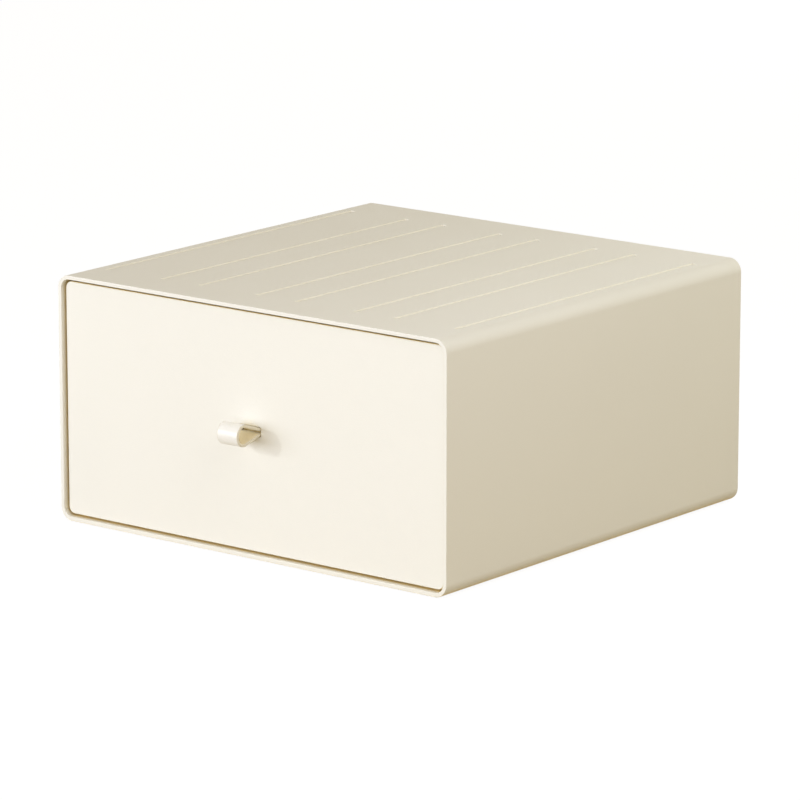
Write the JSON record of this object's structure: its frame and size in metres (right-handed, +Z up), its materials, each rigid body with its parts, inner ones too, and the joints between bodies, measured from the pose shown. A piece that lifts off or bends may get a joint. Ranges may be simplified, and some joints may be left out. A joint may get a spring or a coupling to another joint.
{
  "type": "stackable drawer box",
  "caption": "Stackable storage box: a rounded plastic sleeve with stacking grooves, closed at the back, and a drawer that slides out on guide strips by a looped strap pull.",
  "frame": {"origin": "middle of the footprint, the strap's reach included, on the surface that the box stands on", "axes": "+Z up, the drawer opens towards -Y, +X to the right as seen from the front"},
  "size_m": [0.32, 0.335, 0.1648],
  "materials": {
    "case_plastic": "satin moulded ABS, warm cream",
    "front_plastic": "satin moulded ABS, warm cream",
    "tray_plastic": "fine-textured moulded polypropylene",
    "runner_plastic": "smooth slippery acetal",
    "strap_leather": "cream leather-look polyurethane, fine grain, soft gloss",
    "screw_steel": "zinc-plated steel"
  },
  "bodies": {
    "case": {"case_sleeve": "case_plastic", "back_panel": "case_plastic", "left_runner": "runner_plastic", "right_runner": "runner_plastic"},
    "drawer": {"drawer_tray": "tray_plastic", "front_panel": "front_plastic", "panel_screws": "screw_steel", "pull_strap": "strap_leather", "strap_retainer": "tray_plastic", "retainer_screws": "screw_steel"}
  },
  "joints": [
    {"name": "drawer_slide", "type": "slide", "parent": "case", "child": "drawer", "axis": [0, -1, 0], "range_m": [0, 0.234]}
  ]
}
